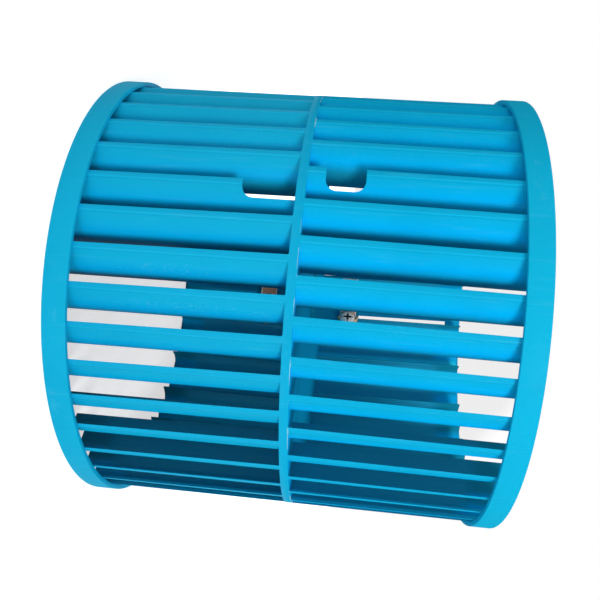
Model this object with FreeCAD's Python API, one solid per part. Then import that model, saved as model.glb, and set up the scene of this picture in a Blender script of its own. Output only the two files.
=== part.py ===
import FreeCAD, Part
import math
import os

# Double-inlet centrifugal fan wheel, moulded in one piece, held on its shaft by two worm clamps.
# The shaft axis is Z. The lower inlet ring stands on Z = 0. All sizes are in millimetres and degrees.

# Wheel
wheel_width = 209.0
tip_radius = 113.6
disc_thickness = 4.0

# Inlet rings, which run outside the blade tips at both ends; the blades end a little inside them
ring_height = 10.6
ring_proud = 2.4
blade_end_inset = 1.7

# Blades: a short straight inlet edge, an arc, then a straight tip that leans forward
blade_count = 42
blade_thickness = 1.3
blade_arc_radius = 9.7
blade_turn = 68.5
blade_tip_length = 7.2
blade_tip_lean = 61.5
blade_inlet_length = 4.3
first_blade_angle = -90.0
upper_stagger = 0.5

# One blade of each half has a notch, through which a screwdriver reaches the clamp behind it
notched_blade = -3
lower_notch_depth = 8.4
lower_notch_width = 23.4
upper_notch_depth = 10.3
upper_notch_width = 17.5
upper_notch_offset = 8.0
notch_corner_radius = 4.8

# Hub sleeve, slotted into fingers on both sides of the disc
bore_radius = 10.0
sleeve_wall = 3.0
hub_reach = 29.0
hub_lip_height = 0.8
hub_lip_width = 1.2
hub_root_flare = 4.0
finger_count = 4
finger_slot_width = 2.0
finger_slot_angle = 12.0
finger_root = 5.0

# Worm clamps
clamp_fit = 0.1
band_width = 9.0
band_thickness = 0.7
band_layer_gap = 0.56
band_lap_angle = 26.0
band_ramp_angle = 34.0
band_ramp_gap = 4.0
band_tail_angle = 58.0
lower_clamp_inset = 1.3
upper_clamp_inset = 0.3
lower_clamp_turn = -28.0
worm_radius = 2.0
dome_room = 0.7
housing_length = 12.0
housing_sheet = 0.8
head_across_flats = 7.0
head_height = 2.7
recess_width = 1.1
recess_length = 4.8
recess_depth = 1.5

# Worked out from the sizes above
mid_height = wheel_width / 2
disc_half = disc_thickness / 2
blade_pitch = 360.0 / blade_count
lower_notch_angle = first_blade_angle + notched_blade * blade_pitch
upper_notch_angle = lower_notch_angle - upper_stagger * blade_pitch
sleeve_radius = bore_radius + sleeve_wall
hub_lip_radius = sleeve_radius + hub_lip_height
band_inner_radius = sleeve_radius + clamp_fit
layer_step = band_thickness + band_layer_gap
band_outer_radius = band_inner_radius + layer_step + band_thickness
screw_offset = band_outer_radius + clamp_fit + worm_radius
head_corner_radius = head_across_flats / math.sqrt(3)

up = FreeCAD.Vector(0, 0, 1)
origin = FreeCAD.Vector(0, 0, 0)


def vector(x, y, z=0.0):
    return FreeCAD.Vector(x, y, z)


def polar(radius, angle, z=0.0):
    turn = math.radians(angle)
    return FreeCAD.Vector(radius * math.cos(turn), radius * math.sin(turn), z)


def line(start, end):
    return Part.LineSegment(start, end).toShape()


def arc(start, middle, end):
    return Part.Arc(start, middle, end).toShape()


def polar_arc(radius, start, end):
    return arc(polar(radius, start), polar(radius, (start + end) / 2), polar(radius, end))


def face_from(edges):
    return Part.Face(Part.Wire(edges))


def polygon(points):
    return Part.Face(Part.makePolygon(points + points[:1]))


def turned(shape, angle):
    moved = shape.copy()
    moved.rotate(origin, up, angle)
    return moved


def raised(shape, height):
    moved = shape.copy()
    moved.translate(up * height)
    return moved


def revolved(points):
    # points are (radius, height) pairs of a closed outline beside the axis
    return polygon([vector(r, 0, z) for r, z in points]).revolve(origin, up, 360)


def edges_at(shape, radius, heights):
    # whole circles about the axis, found by their radius and height
    found = []
    for edge in shape.Edges:
        curve = edge.Curve
        if not isinstance(curve, Part.Circle) or abs(curve.Radius - radius) > 1e-6:
            continue
        if any(abs(curve.Center.z - height) < 1e-6 for height in heights):
            found.append(edge)
    return found


def tip_frame():
    # the straight tip leans forward from the radial line, and its hollow side ends at the tip radius
    lean = math.radians(blade_tip_lean)
    outward = vector(math.cos(lean), -math.sin(lean))
    hollow_side = vector(-math.sin(lean), -math.cos(lean))
    corner = vector(tip_radius, 0)
    return corner, outward, hollow_side


def reach_to_radius(start, direction, radius):
    # the point where a straight line from start meets a circle about the axis
    along = start.dot(direction)
    beyond = start.dot(start) - radius * radius
    return start + direction * (math.sqrt(along * along - beyond) - along)


def blade_section():
    # the blade at angle 0, with its lip flush with the tip radius
    corner, outward, hollow_side = tip_frame()
    knee_bearing = 90 - blade_tip_lean
    heel_bearing = knee_bearing + blade_turn
    middle_bearing = (knee_bearing + heel_bearing) / 2
    small = blade_arc_radius - blade_thickness / 2
    large = blade_arc_radius + blade_thickness / 2
    centre = corner - outward * blade_tip_length + hollow_side * small
    inward = polar(blade_inlet_length, heel_bearing + 90)

    knee_hollow = centre + polar(small, knee_bearing)
    knee_full = centre + polar(large, knee_bearing)
    heel_hollow = centre + polar(small, heel_bearing)
    heel_full = centre + polar(large, heel_bearing)
    lip_full = reach_to_radius(knee_full, outward, tip_radius)
    lip_middle = (corner + lip_full).normalize() * tip_radius
    return face_from([
        line(knee_hollow, corner),
        arc(corner, lip_middle, lip_full),
        line(lip_full, knee_full),
        arc(knee_full, centre + polar(large, middle_bearing), heel_full),
        line(heel_full, heel_full + inward),
        line(heel_full + inward, heel_hollow + inward),
        line(heel_hollow + inward, heel_hollow),
        arc(heel_hollow, centre + polar(small, middle_bearing), knee_hollow),
    ])


def notch_cutter(low, high, depth):
    # a U with rounded corners, cut square through the straight tip between two heights
    corner, outward, hollow_side = tip_frame()
    deep = corner - outward * depth
    beyond = corner + outward * (blade_thickness * 4)
    radius = notch_corner_radius
    slant = radius * (1 - math.sqrt(0.5))
    rounded = deep + outward * radius
    halfway = deep + outward * slant
    outline = [
        line(beyond + up * low, beyond + up * high),
        line(beyond + up * high, rounded + up * high),
        arc(rounded + up * high, halfway + up * (high - slant), deep + up * (high - radius)),
        line(deep + up * (high - radius), deep + up * (low + radius)),
        arc(deep + up * (low + radius), halfway + up * (low + slant), rounded + up * low),
        line(rounded + up * low, beyond + up * low),
    ]
    swept = face_from(outline).extrude(hollow_side * (blade_thickness * 8))
    swept.translate(hollow_side * (blade_thickness * -4))
    return swept


def half_blades(length, notch):
    # the blades of one half, standing on height 0
    blade = blade_section().extrude(up * length)
    notched = blade.cut(notch)
    blades = []
    for number in range(blade_count):
        chosen = notched if number == notched_blade % blade_count else blade
        blades.append(turned(chosen, first_blade_angle + number * blade_pitch))
    return blades


def inlet_ring(low):
    outer = tip_radius + ring_proud
    high = low + ring_height
    return revolved([(tip_radius, low), (outer, low), (outer, high), (tip_radius, high)])


def disc_and_hub():
    side = [
        (bore_radius, 0),
        (tip_radius, 0),
        (tip_radius, disc_half),
        (sleeve_radius, disc_half),
        (sleeve_radius, hub_reach - hub_lip_width),
        (hub_lip_radius, hub_reach - hub_lip_width),
        (hub_lip_radius, hub_reach),
        (bore_radius, hub_reach),
    ]
    upper = revolved(side)
    lower = revolved([(r, -z) for r, z in side])
    body = upper.fuse(lower).removeSplitter()
    body = body.makeChamfer(hub_root_flare, edges_at(body, sleeve_radius, [disc_half, -disc_half]))
    return body.cut(finger_slots())


def finger_slots():
    slots = []
    slot_base = disc_half + finger_root
    length = hub_reach - slot_base + hub_lip_width
    for number in range(finger_count):
        slot = Part.makeBox(sleeve_radius * 2, finger_slot_width, length, vector(0, -finger_slot_width / 2, slot_base))
        slot = turned(slot, finger_slot_angle + number * 360.0 / finger_count)
        slots.append(slot)
        slots.append(slot.mirror(origin, up))
    return slots


def wheel():
    blade_length = mid_height - disc_half - blade_end_inset
    # the lower cutter runs on past the blade's end, so that its notch meets the disc square
    lower_notch = notch_cutter(
        blade_length - lower_notch_width, blade_length + notch_corner_radius, lower_notch_depth
    )
    upper_notch = notch_cutter(
        upper_notch_offset, upper_notch_offset + upper_notch_width, upper_notch_depth
    )
    lower = [raised(blade, blade_end_inset) for blade in half_blades(blade_length, lower_notch)]
    upper = half_blades(blade_length, upper_notch)
    upper = [turned(raised(blade, mid_height + disc_half), -upper_stagger * blade_pitch) for blade in upper]
    rings = [inlet_ring(0), inlet_ring(wheel_width - ring_height)]
    body = raised(disc_and_hub(), mid_height).fuse(rings + lower + upper)
    return body.removeSplitter()


def band_outline():
    # the strip goes once round the sleeve, climbs over its own start and ends in a free tail
    start = -band_lap_angle
    ramp_end = 360 - band_lap_angle - band_ramp_gap
    ramp_start = ramp_end - band_ramp_angle
    ramp_middle = (ramp_start + ramp_end) / 2
    end = 360 + band_tail_angle

    def side(low):
        high = low + layer_step
        return [
            polar_arc(low, start, ramp_start),
            arc(polar(low, ramp_start), polar((low + high) / 2, ramp_middle), polar(high, ramp_end)),
            polar_arc(high, ramp_end, end),
        ]

    inner = band_inner_radius
    outer = inner + band_thickness
    tail_end = line(polar(inner + layer_step, end), polar(outer + layer_step, end))
    first_end = line(polar(outer, start), polar(inner, start))
    return face_from(side(inner) + [tail_end] + side(outer)[::-1] + [first_end])


def clamp_band():
    return raised(band_outline().extrude(up * band_width), -band_width / 2)


def clamp_housing():
    # an arch of folded sheet: it straddles the band and domes over the worm
    inside = band_width / 2 + clamp_fit
    foot = hub_lip_radius + clamp_fit
    shoulder = band_outer_radius + clamp_fit
    dome = worm_radius + dome_room

    def side(width, shoulder_height, dome_radius, way):
        return [
            vector(foot, 0, width * way),
            vector(shoulder_height, 0, width * way),
            vector(screw_offset, 0, dome_radius * way),
        ]

    def half_outline(width, shoulder_height, dome_radius):
        left = side(width, shoulder_height, dome_radius, -1)
        right = side(width, shoulder_height, dome_radius, 1)
        return [
            line(left[0], left[1]),
            line(left[1], left[2]),
            arc(left[2], vector(screw_offset + dome_radius, 0, 0), right[2]),
            line(right[2], right[1]),
            line(right[1], right[0]),
        ]

    outer_width = inside + housing_sheet
    outer = half_outline(outer_width, shoulder + housing_sheet / 2, dome + housing_sheet)
    inner = half_outline(inside, shoulder, dome)
    left_foot = line(vector(foot, 0, -inside), vector(foot, 0, -outer_width))
    right_foot = line(vector(foot, 0, outer_width), vector(foot, 0, inside))
    arch = face_from(outer + [right_foot] + inner[::-1] + [left_foot])
    arch.translate(vector(0, -housing_length / 2))
    return arch.extrude(vector(0, housing_length, 0))


def clamp_screw():
    # turned about its own axis first, with the head upwards, then laid along the tangent
    beyond_band = band_outer_radius + clamp_fit
    head_low_side = screw_offset - head_corner_radius
    head_base = math.sqrt(beyond_band ** 2 - head_low_side ** 2)
    tip = -housing_length / 2
    shank = revolved([
        (0, tip),
        (worm_radius, tip),
        (worm_radius, head_base),
        (0, head_base),
    ])
    screw = shank.fuse(raised(screw_head(), head_base)).removeSplitter()
    screw.rotate(origin, vector(1, 0), 90)
    screw.translate(vector(screw_offset, 0))
    return screw


def screw_head():
    # a hexagon with a cross recess
    corners = [polar(head_corner_radius, 60 * number) for number in range(6)]
    head = polygon(corners).extrude(up * head_height)
    for along in (0, 90):
        bar = Part.makeBox(
            recess_length, recess_width, recess_depth,
            vector(-recess_length / 2, -recess_width / 2, head_height - recess_depth),
        )
        head = head.cut(turned(bar, along))
    return head


def clamp_angle(notch_angle):
    # the screw points at the middle of the notch, through which a screwdriver reaches its head
    return notch_angle + 90 - math.degrees(math.asin(screw_offset / tip_radius)) + notch_middle_angle()


def notch_middle_angle():
    # the notch lies behind the lip, because the tip leans forward
    corner, outward, hollow_side = tip_frame()
    middle = corner - outward * ((lower_notch_depth + upper_notch_depth) / 4)
    return math.degrees(math.atan2(middle.y, middle.x))


def clamp_height(inset):
    return hub_reach - hub_lip_width - inset - band_width / 2


def save(name, shape):
    solids = shape.Solids
    print(name, "solids", len(solids), "valid", shape.isValid(), "volume", round(shape.Volume, 2))
    solids[0].exportStep(os.path.join("parts", name + ".step"))


os.makedirs("parts", exist_ok=True)
save("fan_wheel", wheel())
clamp_pieces = {"clamp_band": clamp_band(), "clamp_housing": clamp_housing(), "clamp_screw": clamp_screw()}
# the lower clamp sits a little round from its notch, as a clamp can before its screw is tightened
clamp_places = {
    "lower": (clamp_angle(lower_notch_angle) + lower_clamp_turn, -clamp_height(lower_clamp_inset)),
    "upper": (clamp_angle(upper_notch_angle), clamp_height(upper_clamp_inset)),
}
for half, (angle, height) in clamp_places.items():
    for piece_name, piece in clamp_pieces.items():
        placed = raised(turned(piece, angle), mid_height + height)
        save(half + "_" + piece_name, placed)
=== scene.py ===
import math
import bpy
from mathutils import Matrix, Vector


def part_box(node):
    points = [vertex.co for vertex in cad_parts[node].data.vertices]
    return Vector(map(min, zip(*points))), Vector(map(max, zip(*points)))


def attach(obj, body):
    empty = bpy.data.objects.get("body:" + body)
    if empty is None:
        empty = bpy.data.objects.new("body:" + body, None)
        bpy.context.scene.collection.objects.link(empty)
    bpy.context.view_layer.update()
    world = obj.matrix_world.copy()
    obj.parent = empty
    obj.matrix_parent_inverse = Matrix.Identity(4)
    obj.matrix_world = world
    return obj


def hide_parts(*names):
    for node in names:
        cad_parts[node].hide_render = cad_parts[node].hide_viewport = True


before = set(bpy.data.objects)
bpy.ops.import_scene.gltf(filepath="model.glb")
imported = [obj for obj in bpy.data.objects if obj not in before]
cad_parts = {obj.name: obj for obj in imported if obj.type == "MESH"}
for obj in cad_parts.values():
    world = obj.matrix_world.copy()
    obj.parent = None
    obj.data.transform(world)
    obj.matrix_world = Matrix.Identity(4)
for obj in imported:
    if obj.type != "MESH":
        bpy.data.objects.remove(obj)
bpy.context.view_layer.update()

from types import SimpleNamespace

import bmesh
import bpy
from mathutils import Matrix, Vector

wheelLow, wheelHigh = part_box("fan_wheel")

# The wheel stands with its shaft axis along Z. Lengths are in metres and angles in radians.
mm = 0.001


class Wire:  # a socket that can be used in sums and products
    def __init__(self, tree, socket):
        self.tree = tree
        self.socket = socket

    def combine(self, operation, *terms):
        return self.tree.node("Math", {"operation": operation}, dict(enumerate(terms)))

    def __add__(self, other):
        return self.combine("ADD", self, other)

    def __radd__(self, other):
        return self.combine("ADD", other, self)

    def __sub__(self, other):
        return self.combine("SUBTRACT", self, other)

    def __rsub__(self, other):
        return self.combine("SUBTRACT", other, self)

    def __mul__(self, other):
        return self.combine("MULTIPLY", self, other)

    def __pow__(self, other):
        return self.combine("POWER", self, other)

    def __abs__(self):
        return self.combine("ABSOLUTE", self)


class Tree:  # a node tree, filled from expressions
    def __init__(self, nodeTree):
        self.nodeTree = nodeTree

    def node(self, kind, settings=None, sockets=None, output=0):
        made = self.nodeTree.nodes.new("ShaderNode" + kind)
        for name, value in (settings or {}).items():
            setattr(made, name, value)
        for name, value in (sockets or {}).items():
            self.feed(made.inputs[name], value)
        return Wire(self, made.outputs[output])

    def feed(self, socket, value):
        if isinstance(value, Wire):
            self.nodeTree.links.new(value.socket, socket)
        elif isinstance(value, tuple) and socket.type == "RGBA":
            socket.default_value = (*value, 1)
        else:
            socket.default_value = value

    def place(self, squeeze=1):  # where a point is, in the object's own frame, squeezed along Z
        spot = self.node("TexCoord", output="Object")
        return self.node("VectorMath", {"operation": "MULTIPLY"}, {0: spot, 1: (1, 1, squeeze)})

    def axisParts(self, vector):
        split = self.node("SeparateXYZ", sockets={0: vector}).socket.node
        return [Wire(self, split.outputs[i]) for i in range(3)]

    def grain(self, squeeze, scale, detail, roughness):  # a noise
        sockets = {"Scale": scale, "Detail": detail, "Roughness": roughness}
        return self.node("TexNoise", sockets={"Vector": self.place(squeeze), **sockets})

    def step(self, value, start, end, top=1.0, shift=0.0):  # a smooth rise from 0 to top
        sockets = {"From Min": start + shift, "From Max": end + shift, "To Min": 0.0, "To Max": top}
        settings = {"interpolation_type": "SMOOTHSTEP"}
        return self.node("MapRange", settings, {"Value": value, **sockets})

    def near(self, value, middle, reach, top=1.0):  # top at the middle, 0 beyond the reach
        return self.step(abs(value - middle), reach, 0.0, top)

    def blend(self, factor, first, second):
        return self.node("Mix", {"data_type": "RGBA"}, {0: factor, 6: first, 7: second}, output=2)

    def bump(self, height, strength, distance, under=None):
        sockets = {"Height": height, "Strength": strength, "Distance": distance}
        if under is not None:
            sockets["Normal"] = under
        return self.node("Bump", sockets=sockets)


def distance(first, second):  # from the middle, for sockets
    return (first * first + second * second) ** 0.5


def material(name, constants):
    made = bpy.data.materials.new(name)
    made.use_nodes = True
    tree = Tree(made.node_tree)
    surface = made.node_tree.nodes["Principled BSDF"].inputs
    for socket, value in constants.items():
        tree.feed(surface[socket], value)
    return made, tree, surface


camera = {
    "place": (0.0, -0.378934, 0.131757),
    "turn": (-0.733421, -1.454289, 2.305734),  # the wheel's axis lies level in the picture
    "lens": 39.0755,
    "sensorWidth": 36,
    "clipStart": 0.01,
}


def makeCamera():
    data = bpy.data.cameras.new("camera")
    data.lens = camera["lens"]
    data.sensor_width = camera["sensorWidth"]
    data.clip_start = camera["clipStart"]
    body = bpy.data.objects.new("camera", data)
    body.location = camera["place"]
    body.rotation_euler = camera["turn"]
    bpy.context.scene.collection.objects.link(body)
    bpy.context.scene.camera = body


makeCamera()
print("camera placed")


studio = {
    "floorReach": 8.0,
    "floorTone": (0.80, 0.795, 0.785),
    "floorRoughness": 0.9,
    "floorSpecular": 0.1,
    "floorGlow": 0.63,  # seen directly only, on top of the floor's own light
    "floorGlowFar": 1.0,
    "floorGlowTone": (1.0, 0.955, 0.925),
    "floorGlowZone": (0.12, 0.30),  # how far from the shaft axis it turns to the far glow
    "airTone": (0.93, 0.97, 1.0),
    "airStrength": 0.50,
    "shade": {  # an ellipse of slightly greyer air behind the wheel, seen directly only
        "middle": -0.086,
        "alongReach": 0.352,
        "crossReach": 0.290,
        "edge": (1.06, 0.97),  # shares of the ellipse's reach
        "farSide": (0.0, 0.2),  # only behind the wheel, along Y
        "tone": 0.85,
    },
    "lamps": {
        "keyLamp": dict(place=(0.52, -1.12, 0.70), size=0.46, power=8.8, tint=(0.95, 0.985, 1.0)),
        "fillLamp": dict(place=(-0.90, -0.75, 0.22), size=1.0, power=0.8, tint=(0.95, 1.0, 0.88)),
        "backLamp": dict(place=(-0.30, 1.20, 0.80), size=1.2, power=2.4, tint=(1.0, 1.0, 1.0)),
    },
}
white = (1, 1, 1)
black = (0, 0, 0)


def seenDirectly(tree):  # 1 for what the camera sees, also in gloss or through glass
    kinds = tree.node("LightPath").socket.node.outputs
    names = ("Is Camera Ray", "Is Glossy Ray", "Is Transmission Ray")
    first, second, third = (Wire(tree, kinds[name]) for name in names)
    return first.combine("MINIMUM", first + second + third, 1.0)


def makeFloor():
    reach = studio["floorReach"]
    corners = [(-reach, -reach, 0), (reach, -reach, 0), (reach, reach, 0), (-reach, reach, 0)]
    mesh = bpy.data.meshes.new("floor")
    mesh.from_pydata(corners, [], [(0, 1, 2, 3)])
    floor = bpy.data.objects.new("floor", mesh)
    bpy.context.scene.collection.objects.link(floor)
    constants = {
        "Base Color": studio["floorTone"],
        "Roughness": studio["floorRoughness"],
        "Specular IOR Level": studio["floorSpecular"],
        "Emission Strength": 1.0,
    }
    paper, tree, surface = material("palePaper", constants)
    x, y = tree.axisParts(tree.place())[:2]
    away = tree.step(distance(x, y), *studio["floorGlowZone"])
    close = studio["floorGlow"]
    glow = seenDirectly(tree) * (away * (studio["floorGlowFar"] - close) + close)
    tone = tree.blend(away, studio["floorGlowTone"], white)
    tree.feed(surface["Emission Color"], tree.blend(glow, black, tone))
    mesh.materials.append(paper)


def makeAir():
    world = bpy.data.worlds.new("studioAir")
    bpy.context.scene.world = world
    world.use_nodes = True
    tree = Tree(world.node_tree)
    background = world.node_tree.nodes["Background"].inputs
    seen = seenDirectly(tree)
    tree.feed(background["Color"], tree.blend(seen, studio["airTone"], white))
    shade = studio["shade"]
    x, y, z = tree.axisParts(tree.node("TexCoord", output="Generated"))
    along = (z - shade["middle"]) * (1 / shade["alongReach"])
    across = x * (1 / shade["crossReach"])
    missing = tree.step(distance(along, across), *shade["edge"], top=1 - shade["tone"])
    missing = missing * tree.step(y, *shade["farSide"])
    strength = studio["airStrength"]
    tree.feed(background["Strength"], seen * (1 - missing - strength) + strength)


def makeLamps():
    middle = (wheelLow + wheelHigh) / 2
    for name, lamp in studio["lamps"].items():
        data = bpy.data.lights.new(name, "AREA")
        data.shape = "DISK"
        data.size = lamp["size"]
        data.energy = lamp["power"]
        data.color = lamp["tint"]
        body = bpy.data.objects.new(name, data)
        body.location = lamp["place"]
        aim = middle - Vector(lamp["place"])
        body.rotation_euler = aim.to_track_quat("-Z", "Y").to_euler()
        bpy.context.scene.collection.objects.link(body)


makeFloor()
makeAir()
makeLamps()
bpy.context.scene.view_settings.view_transform = "Standard"
print("studio lit")


mesher = {
    "sharpAngle": math.radians(35),
    "turnSteps": 360,
    "weld": 1e-7,
    "cornerSteps": 4,
    "mostCut": 0.45,  # a rounding takes at most this share of a side
}


def linked(name, bm):
    mesh = bpy.data.meshes.new(name)
    bm.to_mesh(mesh)
    bm.free()
    body = bpy.data.objects.new(name, mesh)
    bpy.context.scene.collection.objects.link(body)
    return body


def cutterFrom(bm):
    bmesh.ops.recalc_face_normals(bm, faces=bm.faces)
    return linked("cutter", bm)


def pieceFrom(name, bm, finish):
    bmesh.ops.recalc_face_normals(bm, faces=bm.faces)
    body = linked(name, bm)
    body.data.shade_smooth()
    body.data.set_sharp_from_angle(angle=mesher["sharpAngle"])
    body.data.materials.append(finish)
    return body


def addRows(bm, rows, capped=True):  # a skin over rows of points, each row a closed loop
    made = [[bm.verts.new(point) for point in row] for row in rows]
    for low, high in zip(made, made[1:]):
        count = len(low)
        for i in range(count):
            j = (i + 1) % count
            bm.faces.new((low[i], low[j], high[j], high[i]))
    if capped:
        bm.faces.new(made[0][::-1])
        bm.faces.new(made[-1])


def aroundAxis(outline, turn, lift=0.0):  # (radius, height) pairs, swung to one bearing round Z
    return [(r * math.cos(turn), r * math.sin(turn), z + lift) for r, z in outline]


def addTurned(bm, outline, steps=mesher["turnSteps"]):  # a closed outline turned about Z
    rows = [aroundAxis(outline, math.tau * i / steps) for i in range(steps)]
    addRows(bm, rows + rows[:1], capped=False)
    bmesh.ops.remove_doubles(bm, verts=bm.verts, dist=mesher["weld"])


def softened(outline, sizes, steps=mesher["cornerSteps"]):  # each corner rounded by its own size
    made = []
    for i, corner in enumerate(outline):
        here = Vector(corner)
        before = Vector(outline[i - 1]) - here
        after = Vector(outline[(i + 1) % len(outline)]) - here
        cut = min(sizes[i], before.length * mesher["mostCut"], after.length * mesher["mostCut"])
        start = here + before.normalized() * cut
        end = here + after.normalized() * cut
        for k in range(steps + 1):
            t = k / steps
            made.append(tuple(start * (1 - t) ** 2 + here * 2 * t * (1 - t) + end * t ** 2))
    return made


def cutWith(body, cutters):  # takes the cutters' shapes out of a body and leaves a plain mesh
    for cutter in cutters:
        change = body.modifiers.new("cut", "BOOLEAN")
        change.operation = "DIFFERENCE"
        change.solver = "EXACT"
        change.object = cutter
    graph = bpy.context.evaluated_depsgraph_get()
    mesh = bpy.data.meshes.new_from_object(body.evaluated_get(graph))
    body.modifiers.clear()
    body.data = mesh
    for cutter in cutters:
        bpy.data.objects.remove(cutter)
    return body


def boxCutter(low, high, placed):
    bm = bmesh.new()
    bmesh.ops.create_cube(bm, size=1.0)
    size = Vector(high) - Vector(low)
    middle = (Vector(high) + Vector(low)) / 2
    spread = Matrix.Translation(middle) @ Matrix.Diagonal((*size, 1))
    bmesh.ops.transform(bm, matrix=placed @ spread, verts=bm.verts)
    return cutterFrom(bm)


def turnedBy(point, angle):
    c, s = math.cos(angle), math.sin(angle)
    return point.x * c - point.y * s, point.x * s + point.y * c


def bendAngles(steps):  # the bearings of a quarter bend
    return [math.pi / 2 * i / steps for i in range(steps + 1)]


wheel = {
    "tipRadius": 113.6 * mm,
    "ringHeight": 10.6 * mm,
    "ringRounding": 0.45 * mm,
    "ringArris": 0.3 * mm,
    "discThickness": 4.0 * mm,
    "discRounding": 0.3 * mm,
    "bladeCount": 42,
    "firstBlade": math.radians(-90),
    "upperStagger": 0.5,
    "thickness": 1.28 * mm,
    "endThickness": 0.98 * mm,  # the blades thin out from the disc to the rings
    "lowerSkew": math.radians(-0.57),  # how far the blades lean round the axis at the disc
    "upperSkew": math.radians(-0.64),
    "arcRadius": 9.7 * mm,
    "arcOffset": 0.65 * mm,  # the hollow side's radius is this much smaller
    "arcSteps": 14,
    "turn": math.radians(68.5),
    "tipLength": 7.2 * mm,
    "tipLean": math.radians(61.5),
    "inletLength": 4.3 * mm,
    "inletSteps": 6,
    "endInset": 1.7 * mm,
    "edgeRounding": 0.22 * mm,
    "edgeBulge": 0.3,
    "rootFillet": 0.5 * mm,
    "rootSink": 1.5 * mm,
    "rootStations": (0.0, 0.12, 0.35, 0.65, 1.0),  # shares of the fillet
    "bladeStations": (0.2, 0.4, 0.6, 0.8),  # shares of the blade's length
    "notchedBlade": -3,
    "notchRounding": 4.8 * mm,
    "notchSteps": 8,
    "notchBeyond": 8 * mm,  # how far the cutter stands out of the tip
    "notchAside": 6 * mm,  # and to either side of it
    "lowerNotch": dict(depth=8.4 * mm, width=23.4 * mm),
    "upperNotch": dict(depth=10.3 * mm, width=17.5 * mm, offset=8.0 * mm),
}
hub = {
    "bore": 10.0 * mm,
    "wall": 3.0 * mm,
    "reach": 29.0 * mm,
    "lipHeight": 0.8 * mm,
    "lipWidth": 1.2 * mm,
    "rootFlare": 4.0 * mm,
    "lipFootRounding": 0.2 * mm,
    "lipRounding": 0.4 * mm,
    "boreRounding": 0.6 * mm,
    "cornerSteps": 6,
    "slotCount": 4,
    "slotWidth": 2.0 * mm,
    "slotAngle": math.radians(12),
    "slotRoot": 5.0 * mm,
    "slotStart": 0.5 * mm,  # the cutter begins near the axis
    "slotPastSleeve": 1.5,  # times the sleeve's radius
    "slotPastEnd": 2 * mm,
}
ringRadius = wheelHigh.x
midHeight = (wheelLow.z + wheelHigh.z) / 2
underRing = midHeight - wheel["ringHeight"]  # from the disc's middle to a ring's inner edge
bladeReach = midHeight - wheelLow.z - wheel["endInset"]
discHalf = wheel["discThickness"] / 2
bladePitch = math.tau / wheel["bladeCount"]
lowerStart = wheel["firstBlade"]
upperStart = lowerStart - wheel["upperStagger"] * bladePitch
halfBlur = 1 * mm


def upperHalf(tree, height):  # 1 in the upper half
    return tree.step(height, -halfBlur, halfBlur, shift=midHeight)


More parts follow.
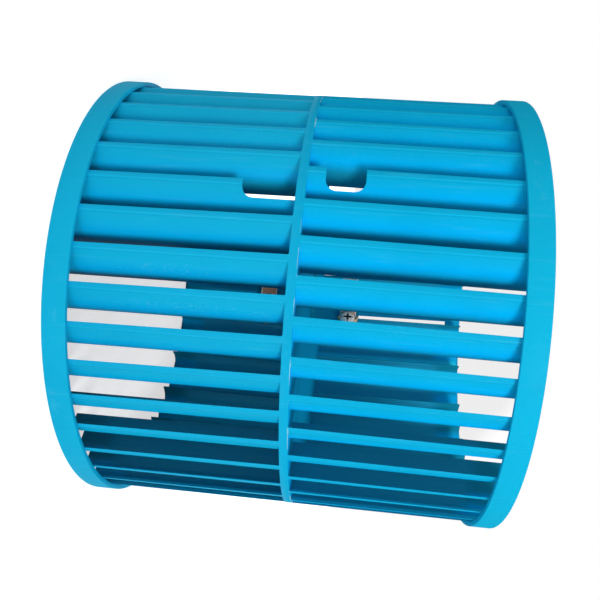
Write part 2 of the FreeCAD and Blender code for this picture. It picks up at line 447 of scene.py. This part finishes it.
# A zone is where a mask rises: from where, to where and, if it isn't 1, how high. A line is a
# mask about one depth: its middle, its reach and its height. A grain is a noise: its squeeze
# along the shaft axis, its scale, detail and roughness. Depths count inwards from the tips.
blue = {
    "lip": (0.0055, 0.435, 0.71),
    # the face tone is bluer than the lips' as painted bounced light
    "face": (0.0004, 0.485, 0.95),
    "greener": (0.0045, 0.445, 0.71),
    "heel": (0.006, 0.28, 0.42),
    "back": (0.016, 0.36, 0.57),
    "rim": (0.025, 0.72, 0.92),
    "ring": (0.006, 0.470, 0.73),
    "line": (0.012, 0.56, 0.86),
    "pale": (0.20, 0.66, 0.84),
    "dusk": (0.002, 0.28, 0.54),
    "rimEdgePale": (0.60, 0.78, 0.84),
    "lowerBlueZone": (1.0 * mm, 5.5 * mm, 0.72),
    "upperBlueZone": (0.3 * mm, 4.0 * mm, 0.85),
    "upperBlueLeast": 0.15,
    # painted shade towards the heels, on the hub and on the disc
    "heelZone": (4.4 * mm, 10.2 * mm),
    "upperHeelShift": 1.3 * mm,
    "bladeZone": (45 * mm, 35 * mm),
    "hubZone": (18 * mm, 15 * mm, 0.9),  # radii
    "flatZone": (0.80, 0.97),  # how nearly a face looks along the shaft axis
    "discShade": 0.6,
    # painted shade on the backs, and painted light just behind the lips
    "backZone": (-0.05, -0.30),  # how far a face looks backwards round the axis
    "backEndZone": (-2 * mm, -12 * mm),  # from a ring's inner edge
    "backDepthZone": (0.5 * mm, 2.0 * mm),
    "backRimLine": (1.2 * mm, 1.5 * mm, 0.8),
    "lipZone": (0.26 * mm, 0.12 * mm),
    "ringZone": (-0.6 * mm, -1.4 * mm),
    # where the rings' painted shadow lies
    "ringShadowZone": (-1.6 * mm, 1.8 * mm, 0.4),  # from a ring's inner edge
    "ringShadowDepthZone": (0.3 * mm, 2.5 * mm),
    "ringShadowWidens": (1.0 * mm, 11.0 * mm, 2.4 * mm),
    # a painted highlight line along each lip, and painted shade in the crease under it
    "highlightLine": (0.16 * mm, 0.12 * mm, 0.6),
    "creaseLine": (0.50 * mm, 0.17 * mm),
    "creaseShade": 0.30,
    "cloudGrain": (1, 26.0, 3.0, 0.55),
    "cloudZone": (0.42, 0.78, 0.16),
    "flowGrain": (0.06, 520.0, 3.0, 0.6),
    "flowZone": (0.56, 0.74, 0.06),
    "speckGrain": (0.5, 1100.0, 2.0, 0.5),
    "speckZone": (0.54, 0.72, 0.32),
    "patchGrain": (0.4, 22.0, 2.0, 0.5),
    "patchZone": (0.46, 0.60),
    "glareFront": (-96 * mm, -105 * mm),  # where the painted glare lies, along Y and X
    "glareSide": (14 * mm, -2 * mm),
    "glareLine": (3.4 * mm, 2.4 * mm),
    "speckLeast": 0.12,
    "rubbedGrain": (1.6, 60.0, 4.0, 0.65),
    "rubbedZone": (0.60, 0.80, 0.16),
    "rimEdgeGrain": (1, 70.0, 3.0, 0.6),
    "rimEdgeZone": (0.50, 0.62, 0.75),
    "rimEdgeReach": 0.32 * mm,  # to both sides of the disc's edge
    "rimEdgeInnerZone": (0.9 * mm, 0.4 * mm),
    "rimEdgeOuterZone": (-0.3 * mm, -0.1 * mm),
    "roughness": 0.45,
    "hazeGrain": (1, 60.0, 4.0, 0.6),
    "hazeReach": 0.22,
    "specular": 0.0,
    "coatRoughness": 0.30,
    "coatIor": 1.45,
    "lowerCoat": 0.12,
    "upperCoat": 0.02,
    "peelGrain": (1, 420.0, 2.0, 0.5),
    "peelBump": (0.10, 0.0006),
    "flowBump": (0.10, 0.0003),
    "creaseBump": (0.4, 0.0002),
}


def placesOnWheel(tree):  # where a point lies on the wheel, and which way it faces
    at = SimpleNamespace()
    at.x, at.y, z = tree.axisParts(tree.place())
    at.radius = distance(at.x, at.y)
    at.depth = wheel["tipRadius"] - at.radius
    at.fromDisc = abs(z - midHeight)
    at.isUpper = upperHalf(tree, z)
    at.isBlade = tree.step(at.depth, *blue["bladeZone"])
    at.isRing = tree.step(at.depth, *blue["ringZone"])
    across, along, up = tree.axisParts(tree.node("NewGeometry", output="Normal"))
    at.isFlat = tree.step(abs(up), *blue["flatZone"])
    ahead = (at.x * along - at.y * across) * (1 / wheel["tipRadius"])
    at.isBack = tree.step(ahead, *blue["backZone"])
    at.crease = tree.near(at.depth, *blue["creaseLine"])
    at.flow = tree.grain(*blue["flowGrain"])
    return at


# the plastic's own tones, with painted light and shade over them
def mouldedToneWithPaintedLight(tree, at):
    # painted light: the bluer faces stand in for light bounced between the blades and falling on
    # the upper half
    # the faces turn bluer from the lips inwards, and in the upper half they start bluer
    lowerBlue = tree.step(at.depth, *blue["lowerBlueZone"])
    upperBlue = tree.step(at.depth, *blue["upperBlueZone"]) + blue["upperBlueLeast"]
    blueness = lowerBlue + (upperBlue - lowerBlue) * at.isUpper
    tone = tree.blend(blueness, blue["greener"], blue["face"])

    # painted shade: past the lips they darken towards the heels, the hub darkens too, and the disc
    # has one shaded tone all over
    pastLip = tree.step(at.depth + at.isUpper * blue["upperHeelShift"], *blue["heelZone"])
    isHub = tree.step(at.radius, *blue["hubZone"])
    shade = at.isBlade + isHub + (blue["discShade"] - at.isBlade) * at.isFlat
    tone = tree.blend(pastLip * shade, tone, blue["heel"])

    # painted shade and light: the backs are darker away from the rings, and lit just behind the
    # lips
    awayFromRing = tree.step(at.fromDisc, *blue["backEndZone"], shift=underRing) * at.isBlade
    backDepth = tree.step(at.depth, *blue["backDepthZone"])
    tone = tree.blend(at.isBack * awayFromRing * backDepth, tone, blue["back"])
    tone = tree.blend(at.isBack * tree.near(at.depth, *blue["backRimLine"]), tone, blue["rim"])
    tone = tree.blend(tree.step(at.depth, *blue["lipZone"]), tone, blue["lip"])
    tone = tree.blend(at.isRing, tone, blue["ring"])

    # painted shadow of the rings in the corners under them, wider towards the heels
    wider = tree.step(at.depth, *blue["ringShadowWidens"])
    ringShadow = tree.step(at.fromDisc + wider, *blue["ringShadowZone"], shift=underRing) * (1 - at.isBack)
    tone = tree.blend(ringShadow * tree.step(at.depth, *blue["ringShadowDepthZone"]), tone, blue["heel"])

    # along each lip's lower edge runs a painted highlight line, and under it a shallow crease with
    # painted shade
    tone = tree.blend(tree.near(at.depth, *blue["highlightLine"]), tone, blue["line"])
    return tree.blend(at.crease * blue["creaseShade"], tone, blue["dusk"])


# cloudy colour, wear and specks, with a painted glare
def wearWithPaintedGlare(tree, at, tone):
    # cloudy colour of the moulding, with flow marks along the blades
    cloud = tree.grain(*blue["cloudGrain"])
    tone = tree.blend(tree.step(cloud, *blue["cloudZone"]), tone, blue["dusk"])
    tone = tree.blend(tree.step(at.flow, *blue["flowZone"]), tone, blue["pale"])

    # fine pale specks all over, and a painted glare: a streak of them along the lower blades at the
    # front
    speck = tree.step(tree.grain(*blue["speckGrain"]), *blue["speckZone"])
    patch = tree.step(tree.grain(*blue["patchGrain"]), *blue["patchZone"])
    glareArea = tree.step(at.y, *blue["glareFront"]) * tree.step(at.x, *blue["glareSide"])
    streak = tree.near(at.depth, *blue["glareLine"]) * (1 - at.isUpper) * glareArea
    tone = tree.blend(speck * patch * (streak + blue["speckLeast"]), tone, blue["pale"])

    # rubbed places on the rings, and pale patches along the upper edge of the disc's rim
    rubbed = tree.step(tree.grain(*blue["rubbedGrain"]), *blue["rubbedZone"])
    tone = tree.blend(rubbed * at.isRing, tone, blue["pale"])
    rimEdgeSpots = tree.step(tree.grain(*blue["rimEdgeGrain"]), *blue["rimEdgeZone"])
    edge = tree.near(at.fromDisc, discHalf, blue["rimEdgeReach"]) * at.isUpper
    edge = edge * tree.step(at.depth, *blue["rimEdgeInnerZone"])
    edge = edge * tree.step(at.depth, *blue["rimEdgeOuterZone"])
    return tree.blend(edge * rimEdgeSpots, tone, blue["rimEdgePale"])


def bluePlastic():
    constants = {
        "Specular IOR Level": blue["specular"],
        "Coat Roughness": blue["coatRoughness"],
        "Coat IOR": blue["coatIor"],
    }
    finish, tree, surface = material("bluePlastic", constants)
    at = placesOnWheel(tree)
    tree.feed(surface["Base Color"], wearWithPaintedGlare(tree, at, mouldedToneWithPaintedLight(tree, at)))
    haze = (tree.grain(*blue["hazeGrain"]) - 0.5) * blue["hazeReach"]
    tree.feed(surface["Roughness"], blue["roughness"] + haze)
    coat = at.isUpper * (blue["upperCoat"] - blue["lowerCoat"]) + blue["lowerCoat"]
    tree.feed(surface["Coat Weight"], coat)
    peel = tree.bump(tree.grain(*blue["peelGrain"]), *blue["peelBump"])
    flowMarks = tree.bump(at.flow, *blue["flowBump"], peel)
    tree.feed(surface["Normal"], tree.bump(1 - at.crease, *blue["creaseBump"], flowMarks))
    return finish


def tipFrame():  # the straight tip leans forward, and its hollow side ends at the tip radius
    lean = wheel["tipLean"]
    outward = Vector((math.cos(lean), -math.sin(lean)))
    hollowSide = Vector((-math.sin(lean), -math.cos(lean)))
    return Vector((wheel["tipRadius"], 0)), outward, hollowSide


def roundedEdge(corner, toLip, outward):  # the three points of a small rounding at a lip's edge
    soft = wheel["edgeRounding"]
    bulged = corner + (toLip - outward) * soft * wheel["edgeBulge"]
    return [corner - outward * soft, bulged, corner + toLip * soft]


def bladeOutline(thickness):  # a blade's closed outline: lip, full side, inlet edge, hollow side
    corner, outward, hollowSide = tipFrame()
    small = wheel["arcRadius"] - wheel["arcOffset"]
    large = small + thickness
    centre = corner - outward * wheel["tipLength"] + hollowSide * small
    knee = math.pi / 2 - wheel["tipLean"]
    heel = knee + wheel["turn"]
    bearings = [knee + wheel["turn"] * i / wheel["arcSteps"] for i in range(wheel["arcSteps"] + 1)]
    full = [centre + Vector((math.cos(b), math.sin(b))) * large for b in bearings]
    hollow = [centre + Vector((math.cos(b), math.sin(b))) * small for b in bearings]

    along = full[0].dot(outward)
    beyond = full[0].dot(full[0]) - wheel["tipRadius"] ** 2
    lipFull = full[0] + outward * (math.sqrt(along * along - beyond) - along)
    lipMiddle = ((corner + lipFull) / 2).normalized() * wheel["tipRadius"]
    across = (lipFull - corner).normalized()

    inward = Vector((-math.sin(heel), math.cos(heel)))
    inletFull = full[-1] + inward * wheel["inletLength"]
    inletHollow = hollow[-1] + inward * wheel["inletLength"]
    half = (inletFull - inletHollow) / 2
    inletEdge = []
    for i in range(wheel["inletSteps"] + 1):
        angle = math.pi * i / wheel["inletSteps"]
        point = (inletFull + inletHollow) / 2 + half * math.cos(angle)
        inletEdge.append(point + inward * half.length * (math.sin(angle) - 1))
    lip = roundedEdge(corner, across, outward) + [lipMiddle]
    lip += roundedEdge(lipFull, -across, outward)[::-1]
    return lip + full + inletEdge + hollow[::-1]


def grown(outline, amount):  # the outline pushed outwards, but never past the tip radius
    made = []
    for i, point in enumerate(outline):
        way = (outline[(i + 1) % len(outline)] - outline[i - 1]).normalized()
        moved = point + Vector((way.y, -way.x)) * amount
        limit = wheel["tipRadius"]
        made.append(moved.normalized() * limit if moved.length > limit else moved)
    return made


def skewAt(way, reach):  # how far the blades have turned at this distance from the disc's middle
    skew = wheel["lowerSkew"] if way < 0 else wheel["upperSkew"]
    return skew * (1 - reach / bladeReach)


def addBlade(bm, angle, way):  # way is -1 for the lower half and 1 for the upper
    fillet = wheel["rootFillet"]
    soft = wheel["edgeRounding"]
    stations = [(discHalf - wheel["rootSink"], fillet)]
    for part in wheel["rootStations"]:
        stations.append((discHalf + fillet * part, fillet * (1 - math.sqrt(1 - (1 - part) ** 2))))
    stations += [(bladeReach * part, 0) for part in wheel["bladeStations"]]
    stations += [(bladeReach - soft, 0), (bladeReach, -soft)]
    thinning = wheel["endThickness"] - wheel["thickness"]
    rows = []
    for reach, amount in stations:
        thickness = wheel["thickness"] + thinning * reach / bladeReach
        outline = grown(bladeOutline(thickness), amount)
        turn = angle + skewAt(way, reach)
        rows.append([(*turnedBy(point, turn), midHeight + way * reach) for point in outline])
    addRows(bm, rows)


def notchCutter(angle, low, high, depth, square):
    # a U with rounded corners through the straight tip; a square one has a sharp high corner
    corner, outward, hollowSide = tipFrame()
    soft = wheel["notchRounding"]
    bends = bendAngles(wheel["notchSteps"])
    highBend = [(soft * (1 - math.sin(b)) - depth, high - soft * (1 - math.cos(b))) for b in bends]
    lowBend = [(soft * (1 - math.cos(b)) - depth, low + soft * (1 - math.sin(b))) for b in bends]
    outline = [(wheel["notchBeyond"], low), (wheel["notchBeyond"], high)]
    outline += [(-depth, high)] if square else highBend
    outline += lowBend
    rows = []
    for side in (-wheel["notchAside"], wheel["notchAside"]):
        base = corner + hollowSide * side
        rows.append([(*turnedBy(base + outward * out, angle), height) for out, height in outline])
    bm = bmesh.new()
    addRows(bm, rows)
    return cutterFrom(bm)


def notchedBlade(finish, angle, way):
    bm = bmesh.new()
    addBlade(bm, angle, way)
    if way < 0:
        notch = wheel["lowerNotch"]
        high = midHeight - discHalf
    else:
        notch = wheel["upperNotch"]
        high = midHeight + discHalf + notch["offset"] + notch["width"]
    low = high - notch["width"]
    turn = angle + skewAt(way, abs((low + high) / 2 - midHeight))
    cutter = notchCutter(turn, low, high, notch["depth"], way < 0)
    return cutWith(pieceFrom("notchedBlade", bm, finish), [cutter])


def makeBlades(finish):
    plain = bmesh.new()
    notched = []
    for way, start in ((-1, lowerStart), (1, upperStart)):
        for i in range(wheel["bladeCount"]):
            angle = start + i * bladePitch
            if i == wheel["notchedBlade"] % wheel["bladeCount"]:
                notched.append(notchedBlade(finish, angle, way))
            else:
                addBlade(plain, angle, way)
    return [pieceFrom("blades", plain, finish)] + notched


def makeRings(finish):
    bm = bmesh.new()
    tip = wheel["tipRadius"]
    soft = wheel["ringRounding"]
    arris = wheel["ringArris"]
    for end, way in ((wheelLow.z, 1), (wheelHigh.z, -1)):
        inner = end + way * wheel["ringHeight"]
        corners = [(tip, end), (ringRadius, end), (ringRadius, inner), (tip, inner)]
        addTurned(bm, softened(corners, [soft, soft, arris, arris]))
    return pieceFrom("rings", bm, finish)


def makeDisc(finish):  # the disc and the slotted sleeve on both sides of it
    sleeve = hub["bore"] + hub["wall"]
    lip = sleeve + hub["lipHeight"]
    lipStart = hub["reach"] - hub["lipWidth"]
    side = [
        (wheel["tipRadius"], discHalf, wheel["discRounding"]),
        (sleeve, discHalf, hub["rootFlare"]),
        (sleeve, lipStart, hub["lipFootRounding"]),
        (lip, lipStart, hub["lipFootRounding"]),
        (lip, hub["reach"], hub["lipRounding"]),
        (hub["bore"], hub["reach"], hub["boreRounding"]),
    ]
    corners = [(r, midHeight + z) for r, z, soft in side]
    corners += [(r, midHeight - z) for r, z, soft in side[::-1]]
    softs = [soft for r, z, soft in side]
    bm = bmesh.new()
    addTurned(bm, softened(corners, softs + softs[::-1], hub["cornerSteps"]))
    disc = pieceFrom("disc", bm, finish)
    half = hub["slotWidth"] / 2
    low = (hub["slotStart"], -half, discHalf + hub["slotRoot"])
    high = (sleeve * hub["slotPastSleeve"], half, hub["reach"] + hub["slotPastEnd"])
    cutters = []
    for i in range(hub["slotCount"]):
        angle = hub["slotAngle"] + math.tau * i / hub["slotCount"]
        placed = Matrix.Translation((0, 0, midHeight)) @ Matrix.Rotation(angle, 4, "Z")
        for way in (-1, 1):
            cutters.append(boxCutter(low, high, placed @ Matrix.Diagonal((1, 1, way, 1))))
    return cutWith(disc, cutters)


def makeWheel():
    finish = bluePlastic()
    parts = makeBlades(finish) + [makeRings(finish), makeDisc(finish)]
    bm = bmesh.new()
    for part in parts:
        bm.from_mesh(part.data)
        bpy.data.objects.remove(part)
    moulding = pieceFrom("fan_wheel_moulding", bm, finish)
    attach(moulding, "root")
    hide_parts("fan_wheel")
    return moulding


moulding = makeWheel()
print("wheel moulded:", len(moulding.data.polygons), "faces")


clamp = {
    "lower": dict(turn=math.radians(-60.29), height=-22.0 * mm),
    "upper": dict(turn=math.radians(-36.58), height=23.0 * mm),
    "bandInner": 13.1 * mm,
    "bandThickness": 0.7 * mm,
    "bandWidth": 9.0 * mm,
    "bandRounding": 0.3 * mm,
    "bandSteps": 300,
    "bandCornerSteps": 3,
    "layerStep": 1.26 * mm,
    "lapAngle": math.radians(26),
    "rampAngle": math.radians(34),
    "rampGap": math.radians(4),
    "tailAngle": math.radians(58),
    "tongueAngle": math.radians(14),
    "tongueShare": 0.45,  # of the band's width, at the very end
    "slotPitch": 2.2 * mm,
    "slotWidth": 0.95 * mm,
    "slotLength": 5.4 * mm,
    "slotLean": math.radians(10),
    "slotsBefore": 2,
    "slotsAfter": 6,
    "slotInwards": 0.2 * mm,  # how far the cutter passes the outer layer's inside
    "slotOutwards": 1 * mm,  # and its outside
}
housing = {
    "foot": 13.9 * mm,
    "halfLength": 6.0 * mm,
    "inside": 4.6 * mm,
    "shoulder": 15.16 * mm,
    "shoulderDrop": 0.35 * mm,
    "shoulderInset": 0.25 * mm,
    "dome": 2.7 * mm,
    "domeSteps": 9,
    "sheet": 0.8 * mm,
    "edgeRounding": 0.18 * mm,
    "edgeBulge": (0.3, 0.4),  # the rounding's middle point: shares along and across
    "beadPlace": 4.6 * mm,
    "beadWidth": 0.55 * mm,
    "beadHeight": 0.22 * mm,
    "beadStations": (-1.0, -0.7, -0.35, 0, 0.35, 0.7, 1.0),
    "window": dict(width=2.4 * mm, low=14.35 * mm, high=14.95 * mm),
    "windowReach": (-1 * mm, 2 * mm),  # the cutter's ends, from a flank's inner face along Z
}
screw = {
    "offset": 17.16 * mm,
    "tip": -6.0 * mm,
    "tipChamfer": 0.2 * mm,
    "core": 1.45 * mm,
    "coreSteps": 48,
    "intoHead": 0.3 * mm,
    "crest": 2.15 * mm,
    "crestWidth": 0.5 * mm,
    "rootWidth": 1.1 * mm,
    "threadSink": 0.1 * mm,
    "threadEnd": 2.2 * mm,  # under the head
    "threadSteps": 28,  # a turn
    "threadFade": 12,  # steps in which the crest rises at both ends
    "headBase": 7.6 * mm,
    "headHeight": 2.7 * mm,
    "headSteps": 72,
    "acrossFlats": 7.0 * mm,
    "collarHeight": 0.55 * mm,
    "collarFoot": (0.80, 0.97),  # shares of the flats' and the corners' half width
    "collarRounding": (0.15 * mm, 0.1 * mm),
    "collarGroove": 0.985,
    "cornersEnd": 0.95 * mm,  # under the top of the head
    "domeLevels": ((0.55 * mm, 0.97), (0.36 * mm, 0.88), (0.12 * mm, 0.62), (0.03 * mm, 0.32)),
    "crossLength": 4.6 * mm,
    "crossWidth": 1.15 * mm,
    "crossDepth": 1.5 * mm,
    "crossRise": 0.5 * mm,  # how far its cutter stands out of the head
    "crossMouth": (1.1, 1.12),  # shares of the cross's length and width
    "crossFoot": (0.55, 0.7),
    "crossDarkShares": (0.58, 0.60),  # of the cross's length and width
    "crossDarkLevels": (-0.2 * mm, 0.22 * mm),  # under the cross's foot, and under the head's top
}


def bandRadius(turn):  # the inside of the strip: once round the sleeve, then over its own start
    rampEnd = math.tau - clamp["lapAngle"] - clamp["rampGap"]
    climb = min(max(1 - (rampEnd - turn) / clamp["rampAngle"], 0), 1)
    return clamp["bandInner"] + clamp["layerStep"] * climb * climb * (3 - 2 * climb)


def bandHalf(left):  # half the band's width; left is 0 at the end of its tongue and 1 before it
    tongue = clamp["tongueShare"]
    return clamp["bandWidth"] / 2 * (tongue + (1 - tongue) * math.sqrt(max(left * (2 - left), 0)))


def makeBand(finish):
    start = -clamp["lapAngle"]
    end = math.tau + clamp["tailAngle"]
    thick = clamp["bandThickness"]
    softs = [clamp["bandRounding"]] * 4
    rows = []
    for i in range(clamp["bandSteps"] + 1):
        turn = start + (end - start) * i / clamp["bandSteps"]
        half = bandHalf(min((end - turn) / clamp["tongueAngle"], 1))
        corners = [(0, -half), (thick, -half), (thick, half), (0, half)]
        section = softened(corners, softs, clamp["bandCornerSteps"])
        low = bandRadius(turn)
        rows.append(aroundAxis([(low + r, z) for r, z in section], turn))
    bm = bmesh.new()
    addRows(bm, rows)
    band = pieceFrom("band", bm, finish)
    wide, long = clamp["slotWidth"] / 2, clamp["slotLength"] / 2
    outside = clamp["bandInner"] + clamp["layerStep"] + thick
    low = (outside - thick - clamp["slotInwards"], -wide, -long)
    high = (outside + clamp["slotOutwards"], wide, long)
    lean = Matrix.Rotation(clamp["slotLean"], 4, "X")
    cutters = []
    for i in range(-clamp["slotsBefore"], clamp["slotsAfter"] + 1):
        turn = i * clamp["slotPitch"] / outside
        cutters.append(boxCutter(low, high, Matrix.Rotation(turn, 4, "Z") @ lean))
    return cutWith(band, cutters)


def halfArch(inside, shoulder, dome):  # foot, flank and half the dome over the worm
    drop, inset = housing["shoulderDrop"], housing["shoulderInset"]
    flank = [(housing["foot"], inside), (shoulder - drop, inside), (shoulder, inside - inset)]
    bends = bendAngles(housing["domeSteps"])
    return flank + [(screw["offset"] + dome * math.sin(b), dome * math.cos(b)) for b in bends]


def archOutline(grow, shrink):  # the folded sheet, seen along the screw
    inside, shoulder, dome = housing["inside"], housing["shoulder"], housing["dome"]
    sheet = housing["sheet"] + grow - shrink
    outer = halfArch(inside + sheet, shoulder + sheet / 2, dome + sheet)
    inner = halfArch(inside + shrink, shoulder + shrink, dome + shrink)
    over = outer + [(x, -z) for x, z in outer[-2::-1]]
    under = inner + [(x, -z) for x, z in inner[-2::-1]]
    return over + under[::-1]


def makeHousing(finish):
    reach = housing["halfLength"]
    soft = housing["edgeRounding"]
    along, across = housing["edgeBulge"]
    stations = [(reach, 0, soft), (reach - soft * along, 0, soft * across), (reach - soft, 0, 0)]
    for part in housing["beadStations"]:
        place = housing["beadPlace"] - part * housing["beadWidth"]
        stations.append((place, housing["beadHeight"] * (1 - part * part) ** 0.5, 0))
    stations += [(-place, grow, shrink) for place, grow, shrink in stations[::-1]]
    rows = []
    for place, grow, shrink in stations:
        rows.append([(x, place, z) for x, z in archOutline(grow, shrink)])
    bm = bmesh.new()
    addRows(bm, rows)
    shell = pieceFrom("housing", bm, finish)
    window = housing["window"]
    half = window["width"] / 2
    start, end = housing["windowReach"]
    cutters = []
    for flank in (-housing["inside"], housing["inside"]):
        low = (window["low"], -half, flank + start)
        high = (window["high"], half, flank + end)
        cutters.append(boxCutter(low, high, Matrix.Identity(4)))
    return cutWith(shell, cutters)


def addThread(bm):  # a right-hand thread round the worm's core
    low = screw["tip"] + screw["rootWidth"] / 2
    high = screw["headBase"] - screw["threadEnd"]
    sunk = screw["core"] - screw["threadSink"]
    root = screw["rootWidth"] / 2
    top = screw["crestWidth"] / 2
    pitch = clamp["slotPitch"]
    fade = screw["threadFade"]
    steps = int((high - low) / pitch * screw["threadSteps"])
    rows = []
    for i in range(steps + 1):
        height = low + (high - low) * i / steps
        turn = math.tau * height / pitch + math.pi
        crest = screw["core"] + (screw["crest"] - screw["core"]) * min(i, steps - i, fade) / fade
        section = [(sunk, -root), (crest, -top), (crest, top), (sunk, root)]
        rows.append(aroundAxis(section, turn, height))
    addRows(bm, rows)


def addHead(bm):  # a round collar under a chamfered hexagon with a low dome
    base = screw["headBase"]
    top = base + screw["headHeight"]
    half = screw["acrossFlats"] / 2
    corner = half / math.cos(math.pi / 6)
    collar = base + screw["collarHeight"]
    footShare, edgeShare = screw["collarFoot"]
    lowSoft, highSoft = screw["collarRounding"]
    roundLevels = [
        (base, half * footShare), (base, corner * edgeShare), (base + lowSoft, corner),
        (collar - highSoft, corner), (collar, corner * screw["collarGroove"]),
    ]
    hexLevels = [(collar, corner), (top - screw["cornersEnd"], corner)]
    hexLevels += [(top - drop, half * share) for drop, share in screw["domeLevels"]]
    turns = [math.tau * k / screw["headSteps"] for k in range(screw["headSteps"])]
    rows = []
    for height, limit in roundLevels:
        rows.append([(limit * math.cos(t), limit * math.sin(t), height) for t in turns])
    for height, limit in hexLevels:
        reach = [min(half / math.cos(t % (math.pi / 3) - math.pi / 6), limit) for t in turns]
        rows.append([(r * math.cos(t), r * math.sin(t), height) for r, t in zip(reach, turns)])
    addRows(bm, rows)


def crossCutters():  # two tapered bars, for a screwdriver
    top = screw["headBase"] + screw["headHeight"]
    mouth = (top + screw["crossRise"], *screw["crossMouth"])
    foot = (top - screw["crossDepth"], *screw["crossFoot"])
    made = []
    for way in (0, 1):
        rows = []
        for height, lengthShare, widthShare in (mouth, foot):
            x = screw["crossLength"] / 2 * lengthShare
            y = screw["crossWidth"] / 2 * widthShare
            corners = [(-x, -y), (x, -y), (x, y), (-x, y)]
            rows.append([(*((p, q) if way else (q, p)), height) for p, q in corners])
        bm = bmesh.new()
        addRows(bm, rows)
        made.append(cutterFrom(bm))
    return made


def isInCross(centre):  # a face on the cross's walls or foot
    top = screw["headBase"] + screw["headHeight"]
    lengthShare, widthShare = screw["crossDarkShares"]
    below, above = screw["crossDarkLevels"]
    if not top - screw["crossDepth"] + below < centre.z < top - above:
        return False
    if min(abs(centre.x), abs(centre.y)) >= screw["crossWidth"] * widthShare:
        return False
    return math.hypot(centre.x, centre.y) < screw["crossLength"] * lengthShare


def makeScrew(finish, crossDark):
    bm = bmesh.new()
    addHead(bm)
    head = cutWith(pieceFrom("head", bm, finish), crossCutters())
    bm = bmesh.new()
    bm.from_mesh(head.data)
    bpy.data.objects.remove(head)
    tip, chamfer = screw["tip"], screw["tipChamfer"]
    end = screw["headBase"] + screw["intoHead"]
    core = screw["core"]
    addTurned(
        bm,
        [(0, tip), (core - chamfer, tip), (core, tip + chamfer), (core, end), (0, end)],
        screw["coreSteps"],
    )
    addThread(bm)
    whole = pieceFrom("screw", bm, finish)
    # the cross's walls and foot take a near-black tone
    whole.data.materials.append(crossDark)
    for face in whole.data.polygons:
        if isInCross(face.center):
            face.material_index = 1
    aside = Matrix.Translation((screw["offset"], 0, 0))
    whole.data.transform(aside @ Matrix.Rotation(math.pi / 2, 4, "X"))
    return whole


plating = {  # zones and grains as in the blue plastic
    "stainGrain": (1, 260.0, 4.0, 0.6),
    "stainZone": (0.42, 0.70),
    "scratchGrain": (14, 900.0, 2.0, 0.5),
    "scratchZone": (0.55, 0.75, 0.25),
    "scratchBump": (0.10, 0.0001),
    "rubbedZone": (-0.75 * mm, -0.25 * mm, 0.9),  # from the band's edge
    "hazeGrain": (1, 700.0, 3.0, 0.6),
    "hazeReach": 0.2,
    "dentGrain": (1, 1500.0, 2.0, 0.5),
    "dentBump": (0.15, 0.0002),
}


def platedSteel(name, look, bandEdge=None):
    finish, tree, surface = material(name, {"Metallic": look["metallic"]})
    height = tree.axisParts(tree.place())[2]
    isUpper = upperHalf(tree, height)
    # the lower and upper clamps' parts take their own tones; for the screws the difference is
    # painted light
    tone = tree.blend(isUpper, look["lowerTone"], look["upperTone"])
    stain = tree.step(tree.grain(*plating["stainGrain"]), *plating["stainZone"], look["stain"])
    tone = tree.blend(stain, tone, look["stainTone"])
    scratch = tree.grain(*plating["scratchGrain"])
    tone = tree.blend(tree.step(scratch, *plating["scratchZone"]), tone, look["bright"])
    if bandEdge:  # the band's plating is rubbed bright along both edges
        lower, upper = clamp["lower"]["height"], clamp["upper"]["height"]
        fromMiddle = abs(height - (isUpper * (upper - lower) + lower + midHeight))
        rubbed = tree.step(fromMiddle, *plating["rubbedZone"], shift=bandEdge)
        tone = tree.blend(rubbed, tone, look["bright"])
    tree.feed(surface["Base Color"], tone)
    haze = (tree.grain(*plating["hazeGrain"]) - 0.5) * plating["hazeReach"]
    tree.feed(surface["Roughness"], look["roughness"] + haze)
    dents = tree.bump(tree.grain(*plating["dentGrain"]), *plating["dentBump"])
    tree.feed(surface["Normal"], tree.bump(scratch, *plating["scratchBump"], dents))
    return finish


finishes = {
    "band": dict(
        lowerTone=(0.46, 0.23, 0.15), upperTone=(0.60, 0.42, 0.30),
        stainTone=(0.34, 0.17, 0.11), bright=(0.92, 0.90, 0.86),
        metallic=0.6, roughness=0.42, stain=0.35,
    ),
    "housing": dict(
        lowerTone=(0.70, 0.60, 0.40), upperTone=(0.50, 0.39, 0.22),
        stainTone=(0.36, 0.24, 0.12), bright=(0.80, 0.72, 0.54),
        metallic=0.85, roughness=0.36, stain=0.35,
    ),
    # painted light: the upper screw's head is far lighter than the lower one's, for the strong
    # light on it
    "screw": dict(
        lowerTone=(0.34, 0.22, 0.16), upperTone=(0.97, 0.90, 0.80),
        stainTone=(0.70, 0.60, 0.48), bright=(0.98, 0.95, 0.90),
        metallic=0.15, roughness=0.34, stain=0.2,
    ),
    "crossDark": dict(
        lowerTone=(0.03, 0.027, 0.025), upperTone=(0.03, 0.027, 0.025),
        stainTone=(0.08, 0.06, 0.045), bright=(0.16, 0.15, 0.14),
        metallic=0.2, roughness=0.7, stain=0.5,
    ),
}
bandSteel = platedSteel("bandSteel", finishes["band"], clamp["bandWidth"] / 2)
housingSteel = platedSteel("housingSteel", finishes["housing"])
screwSteel = platedSteel("screwSteel", finishes["screw"])
screwCrossDark = platedSteel("screwCrossDark", finishes["crossDark"])

for side in ("lower", "upper"):
    lift = Matrix.Translation((0, 0, midHeight + clamp[side]["height"]))
    placed = lift @ Matrix.Rotation(clamp[side]["turn"], 4, "Z")
    pieces = {
        "band": makeBand(bandSteel),
        "housing": makeHousing(housingSteel),
        "screw": makeScrew(screwSteel, screwCrossDark),
    }
    for kind, piece in pieces.items():
        piece.data.transform(placed)
        piece.name = side + "_" + kind + "_detailed"
        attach(piece, "root")
        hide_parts(side + "_clamp_" + kind)
        kind + "_steel"
        print(piece.name, "made:", len(piece.data.polygons), "faces")
